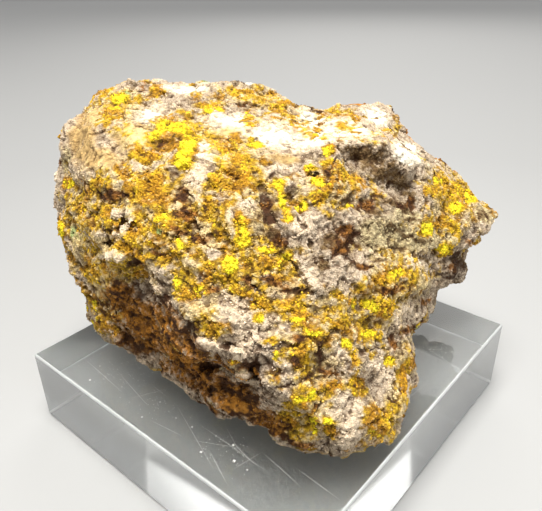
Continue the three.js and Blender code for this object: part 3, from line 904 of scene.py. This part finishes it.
# How many grains there are of each kind and their radius in millimetres, and how far their radii, their
# proportions and their brightness vary.
GRAINS = {"crystals": (24000, 0.22), "grits": (24000, 0.17)}
RADIUS_RANGE = (0.5, 1.35)
SQUASH_RANGE = (0.6, 1.15)
BRIGHTNESS_RANGE = (0.65, 1.3)
CLEAR_OF_BLOCK = 0.6


def set_attribute(mesh, name, values):
    """Stores a number or a colour at each point of a mesh."""
    if values.ndim == 1:
        attribute = mesh.attributes.new(name, "FLOAT", "POINT")
        attribute.data.foreach_set("value", np.ascontiguousarray(values, np.float32))
        return
    attribute = mesh.attributes.new(name, "FLOAT_COLOR", "POINT")
    opaque = np.concatenate([values, np.ones((len(values), 1))], axis=1)
    attribute.data.foreach_set("color", np.ascontiguousarray(opaque, np.float32).ravel())


def stone_piece(name, skin, quads, looks, material):
    """One part of the stone's skin, with the looks stored at its points."""
    used, corners = np.unique(quads, return_inverse=True)
    piece = mesh_object(name, (skin.points[used] * MM).tolist(), corners.reshape(-1, 4).tolist())
    for title, values in looks.items():
        set_attribute(piece.data, title, values[used])
    piece.data.shade_flat()
    piece.data.materials.append(material)
    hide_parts("specimen_rock")
    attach(piece, "root")


def make_stone():
    """The stone, cut across from left to right into as few pieces as the triangle limit allows."""
    skin = stone_skin()
    masks = stone_masks(skin)
    carve(skin, masks)
    even = np.clip(masks["white_and_highlight"] + 0.8 * masks["tan"] + 0.4 * masks["pale"], 0, 1)
    looks = {
        "tone": stone_tone(skin, masks),
        # How sunken each point is, for dirt and painted shade in the hollows, more where shade is painted.
        "hollow_dirt_and_shade": np.clip(0.5 + skin.hollowness(HOLLOW_ROUNDS) / 0.5 + 0.4 * masks["shade"], 0, 1),
        "rough": 1 - 0.85 * even,
    }
    rightwards = np.array(from_viewer(1, 0, 0) - from_viewer(0, 0, 0))
    middles = skin.points[skin.quads].mean(axis=1) @ rightwards
    count = math.ceil(2 * len(skin.quads) / MOST_TRIANGLES)
    limits = np.quantile(middles, np.linspace(0, 1, count + 1)[1:-1])
    part = np.searchsorted(limits, middles)
    material = crusted_rock()
    for index in range(count):
        stone_piece(f"stone_{index + 1}", skin, skin.quads[part == index], looks, material)
    return skin, masks, looks["tone"]


def random_turns(random, count):
    """Random rotations, as arrays of three by three."""
    w, x, y, z = random.normal(size=(4, count))
    length = np.sqrt(w**2 + x**2 + y**2 + z**2)
    w, x, y, z = w / length, x / length, y / length, z / length
    rows = [
        (1 - 2 * (y * y + z * z), 2 * (x * y - w * z), 2 * (x * z + w * y)),
        (2 * (x * y + w * z), 1 - 2 * (x * x + z * z), 2 * (y * z - w * x)),
        (2 * (x * z - w * y), 2 * (y * z + w * x), 1 - 2 * (x * x + y * y)),
    ]
    return np.array(rows).transpose(2, 0, 1)


def grain_faces(count):
    """The faces of count grains whose corners follow one another."""
    firsts = len(GRAIN_CORNERS) * np.arange(count)[:, None, None]
    return (GRAIN_FACES[None] + firsts).reshape(-1, 3).tolist()


def make_grains(name, skin, weight, tone, material):
    """Small crystals strewn over the stone, thickest where weight is greatest."""
    count, size = GRAINS[name]
    random = np.random.default_rng(sum(name.encode()))
    weights = weight[skin.quads].mean(axis=1)
    chosen = random.choice(len(skin.quads), count, p=weights / weights.sum())
    shares = random.dirichlet((1, 1, 1, 1), count)
    middles = (skin.points[skin.quads[chosen]] * shares[:, :, None]).sum(axis=1)
    radii = size * random.uniform(*RADIUS_RANGE, count) * (0.75 + 0.5 * weights[chosen])
    squash = random.uniform(*SQUASH_RANGE, (count, 1, 3))
    turned = np.einsum("nij,nkj->nki", random_turns(random, count), GRAIN_CORNERS * squash)
    points = middles[:, None] + turned * radii[:, None, None]
    grains = mesh_object(name, (points.reshape(-1, 3) * MM).tolist(), grain_faces(count))
    own = tone[skin.quads[chosen, 0]] * random.uniform(*BRIGHTNESS_RANGE, (count, 1))
    set_attribute(grains.data, "tone", np.repeat(own, len(GRAIN_CORNERS), axis=0))
    grains.data.materials.append(material)
    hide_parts("specimen_rock")
    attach(grains, "root")


def strew_grains(skin, masks, tone):
    """Crystals on the crusts and grit on the bare stone, clear of the block that the stone rests on."""
    crusty = ramp(np.maximum(masks["lemon"], masks["ochre"]), 0.1, 0.6)
    bare = (1 - 0.7 * crusty) * (1 - 0.7 * masks["smooth"])
    clear = skin.points[:, 2] > RESTING_HEIGHT + CLEAR_OF_BLOCK
    material = crust_grains()
    for name, weight in (("crystals", crusty), ("grits", bare)):
        make_grains(name, skin, (weight + 1e-6) * clear, tone, material)


# ---- the block, its scratches and its dust

BEVEL = 0.45 * MM

# Hairline scratches on the block's top: the points that each passes in the picture.
SCRATCHES = [
    [(152, 385), (167, 397)], [(225, 425), (236, 446), (252, 462), (266, 470)], [(430, 350), (460, 370)],
    [(200, 425), (224, 441), (250, 460)], [(118, 372), (150, 408)], [(176, 404), (214, 470)],
    [(262, 452), (300, 486)], [(190, 440), (240, 448)], [(86, 360), (122, 392)], [(440, 330), (470, 338)],
    [(404, 402), (430, 380)], [(150, 420), (182, 436)], [(232, 470), (262, 452)], [(296, 468), (340, 500)],
    [(132, 398), (170, 388)], [(210, 452), (228, 486)], [(424, 344), (452, 330)], [(372, 452), (388, 436)],
]
SCRATCH_STEPS = 12
SCRATCH_WIDTH = 0.055 * MM
SCRATCH_LIFT = 0.01 * MM

# Specks on the block's top: where in the picture, and their radius in millimetres.
SPECKS = [
    (90, 380, 0.3), (142, 417, 0.26), (192, 427, 0.3), (201, 452, 0.34), (234, 461, 0.4), (233, 445, 0.32),
    (160, 402, 0.22), (176, 418, 0.2), (247, 470, 0.22), (216, 436, 0.2), (452, 352, 0.2), (100, 366, 0.18),
]

# Finer dust: the column, row, half width and half height of the places where it gathers, how much there is,
# its radii in millimetres, its proportions and how far it keeps from the block's edges.
DUSTY = [(160, 400, 40, 22), (230, 452, 30, 22), (440, 350, 30, 16), (120, 372, 40, 16)]
DUST_COUNT = 420
DUST_SEED = 5
DUST_RADIUS = (0.04, 0.12)
DUST_SHAPE = (1.0, 1.0, 0.4)
DUST_MARGIN = 3 * MM


def make_block():
    """The clear block, with its edges rounded off."""
    body = bmesh.new()
    bmesh.ops.create_cube(body, size=1.0)
    for vertex in body.verts:
        for axis in range(3):
            vertex.co[axis] = BLOCK_LOW[axis] if vertex.co[axis] < 0 else BLOCK_HIGH[axis]
    bmesh.ops.bevel(body, geom=body.edges[:], offset=BEVEL, segments=3, profile=0.5, affect="EDGES")
    mesh = bpy.data.meshes.new("acrylic")
    body.to_mesh(mesh)
    body.free()
    block = bpy.data.objects.new("acrylic", mesh)
    bpy.context.scene.collection.objects.link(block)
    block.data.materials.append(clear_acrylic())
    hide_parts("acrylic_block")
    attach(block, "root")


def on_block(column, row, lift=0.0):
    """The place on the block's top, lift above it, that shows at a point of the picture."""
    ray = sight_ray(column, row)
    along = (BLOCK_TOP + lift - CAMERA_AT.z) / ray.z
    return CAMERA_AT + along * ray


def add_to_block(name, vertices, faces):
    """Something pale that lies on the block."""
    piece = mesh_object(name, vertices, faces)
    material, _, shader = new_material(name)
    shader.inputs["Base Color"].default_value = (0.85, 0.85, 0.83, 1.0)
    shader.inputs["Roughness"].default_value = 0.7
    piece.data.materials.append(material)
    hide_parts("acrylic_block")
    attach(piece, "root")


def scratch_points(stops):
    """Points along a scratch through its stops."""
    columns, rows = zip(*stops)
    given = np.linspace(0, 1, len(stops))
    steps = np.linspace(0, 1, SCRATCH_STEPS)
    places = zip(np.interp(steps, given, columns), np.interp(steps, given, rows))
    return [on_block(column, row, SCRATCH_LIFT) for column, row in places]


def make_scratches():
    vertices, faces = [], []
    for stops in SCRATCHES:
        points = scratch_points(stops)
        aside = (points[-1] - points[0]).cross(Vector((0, 0, 1))).normalized() * SCRATCH_WIDTH / 2
        for index, point in enumerate(points):
            taper = math.sin(math.pi * (index + 0.5) / len(points))
            vertices += [point - aside * taper, point + aside * taper]
            if index:
                last = len(vertices) - 1
                faces.append((last - 3, last - 2, last, last - 1))
    add_to_block("scratches", vertices, faces)


def well_inside(spot):
    """Whether a place on the block's top lies clear of its edges."""
    sides = zip(BLOCK_LOW.xy, spot.xy, BLOCK_HIGH.xy)
    return all(low + DUST_MARGIN < at < high - DUST_MARGIN for low, at, high in sides)


def make_dust():
    random = np.random.default_rng(DUST_SEED)
    places = [(on_block(column, row), radius * MM) for column, row, radius in SPECKS]
    for index in range(DUST_COUNT):
        column, row, half_width, half_height = DUSTY[index % len(DUSTY)]
        spot = on_block(column + half_width * random.normal() / 2, row + half_height * random.normal() / 2)
        if well_inside(spot):
            places.append((spot, random.uniform(*DUST_RADIUS) * MM))
    turned = np.einsum("nij,kj->nki", random_turns(random, len(places)), GRAIN_CORNERS)
    shape = np.array(DUST_SHAPE)
    points = [np.array(spot) + radius * shape * corners for (spot, radius), corners in zip(places, turned)]
    add_to_block("dust", np.concatenate(points).tolist(), grain_faces(len(places)))


# ---- the floor

# Half the floor's width, its height just under the block, and its tones at distances from the block.
FLOOR_HALF = 4.0
FLOOR_HEIGHT = -0.2 * MM
FLOOR_TONES = [(0.2, (0.43, 0.43, 0.425)), (1.0, (0.8, 0.8, 0.79))]


def make_floor():
    corners = [(-1, -1), (1, -1), (1, 1), (-1, 1)]
    vertices = [(x * FLOOR_HALF, y * FLOOR_HALF, FLOOR_HEIGHT) for x, y in corners]
    floor = mesh_object("floor", vertices, [(0, 1, 2, 3)])
    material, tree, shader = new_material("floor")
    place = add(tree, "ShaderNodeTexCoord").outputs["Object"]
    away = add(tree, "ShaderNodeVectorMath", {"operation": "LENGTH"}, Vector=place).outputs["Value"]
    tree.links.new(gradient(tree, away, FLOOR_TONES), shader.inputs["Base Color"])
    shader.inputs["Roughness"].default_value = 0.6
    floor.data.materials.append(material)


make_camera()
make_lights()
make_floor()
make_block()
make_scratches()
make_dust()
strew_grains(*make_stone())
